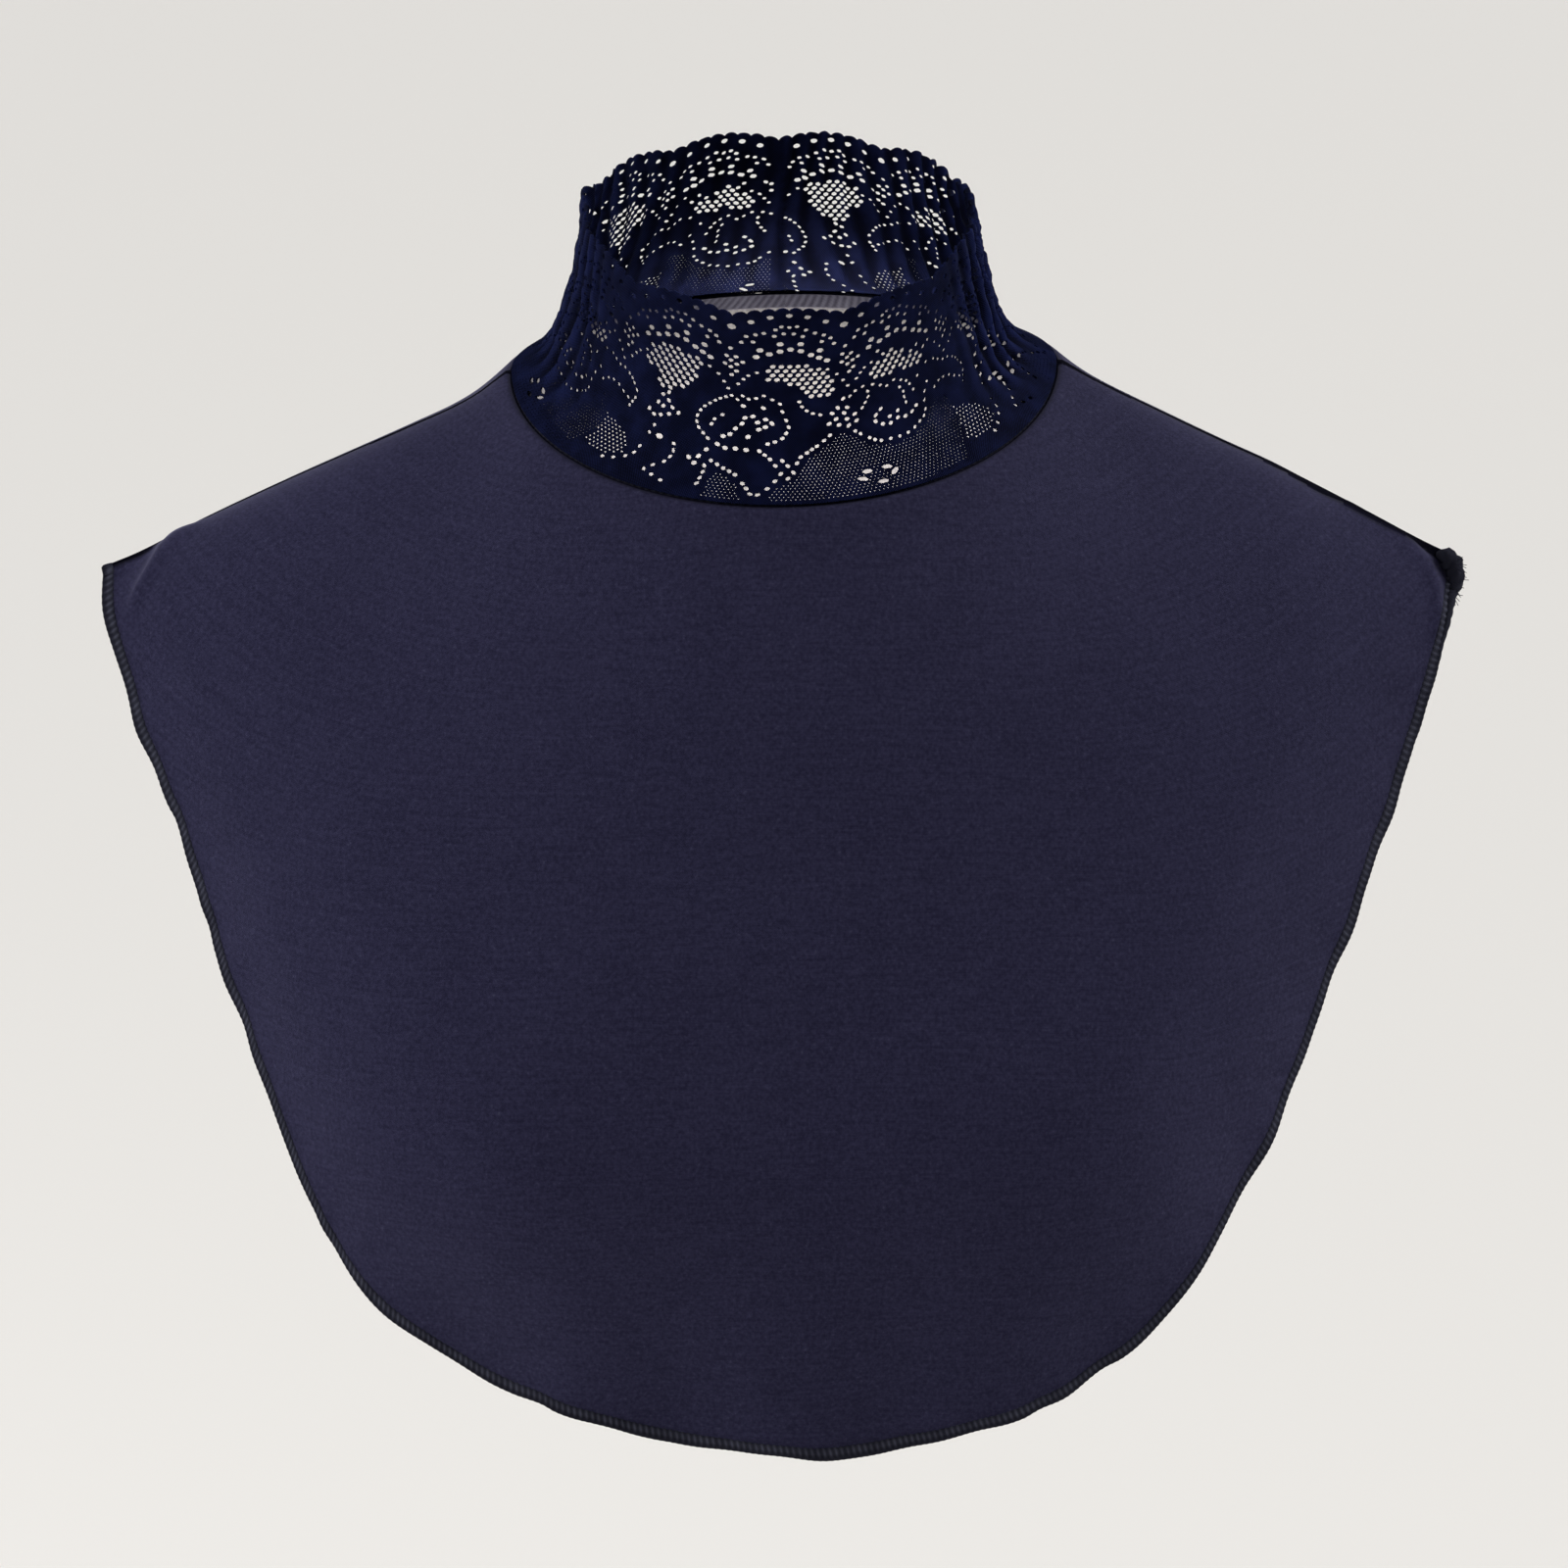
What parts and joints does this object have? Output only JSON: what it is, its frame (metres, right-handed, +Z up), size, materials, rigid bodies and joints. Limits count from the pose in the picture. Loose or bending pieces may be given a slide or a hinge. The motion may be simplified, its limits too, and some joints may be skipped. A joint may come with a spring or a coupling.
{
  "type": "lace-collar dickey",
  "caption": "Pull-over dickey: a jersey bib with rounded front and back panels joined at the shoulders, under a scalloped, pierced stand collar of stretch lace.",
  "frame": {"origin": "Midway between the two side points of the neckline, where the shoulder lines start and the base of the neck carries the dickey.", "axes": "+X towards the wearer's left (the viewer's right), +Y towards the wearer's back, +Z up."},
  "size_m": [0.4117, 0.217, 0.3706],
  "materials": {
    "jersey": "matte fine-rib stretch jersey, dark navy",
    "lace": "soft stretch lace, deep navy with a slight sheen",
    "edge_thread": "matte overlock thread, near-black navy"
  },
  "bodies": {
    "root": {"front_panel": "jersey", "back_panel": "jersey", "lace_collar": "lace", "neck_seam": "edge_thread", "front_hem": "edge_thread", "back_hem": "edge_thread", "left_shoulder_seam": "edge_thread", "right_shoulder_seam": "edge_thread"}
  },
  "joints": []
}
